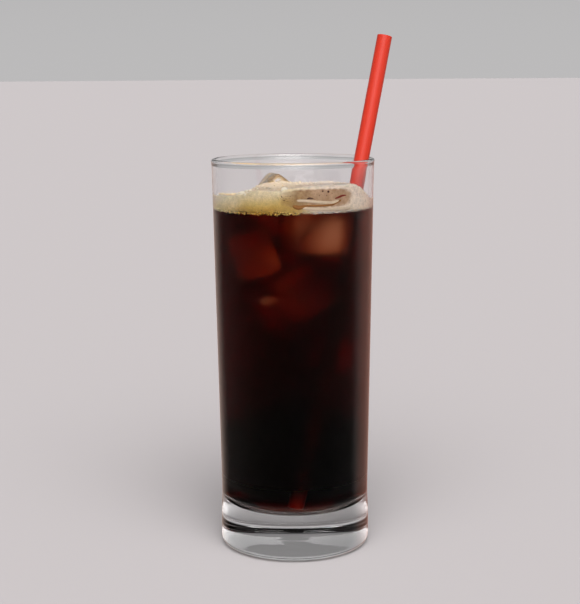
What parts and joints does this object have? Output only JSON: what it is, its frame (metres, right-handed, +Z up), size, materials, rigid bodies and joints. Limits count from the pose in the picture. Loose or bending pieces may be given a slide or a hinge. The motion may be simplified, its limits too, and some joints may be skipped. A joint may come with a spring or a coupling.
{
  "type": "iced black coffee in a tall glass with a straw",
  "caption": "Tall straight clear tumbler with a thick base, filled with iced black coffee under tan foam, with ice cubes breaking the foam and a plain red straw leaning to one side of the rim.",
  "frame": {"origin": "centre of the flat underside of the glass", "axes": "+Z up along the axis of the glass; the front that the picture shows faces -Y, and the straw leans to +X"},
  "size_m": [0.0733, 0.066, 0.2091],
  "materials": {
    "clear_glass": "clear polished soda-lime glass",
    "coffee": "dark clear liquid, red-brown where it is thin",
    "foam": "fine tan bubbles, matte",
    "ice": "wet clear ice with a cloudy heart",
    "red_plastic": "smooth red plastic, satin"
  },
  "bodies": {
    "root": {"glass": "clear_glass", "coffee": "coffee", "foam": "foam", "ice_left": "ice", "ice_right": "ice", "straw": "red_plastic"}
  },
  "joints": []
}
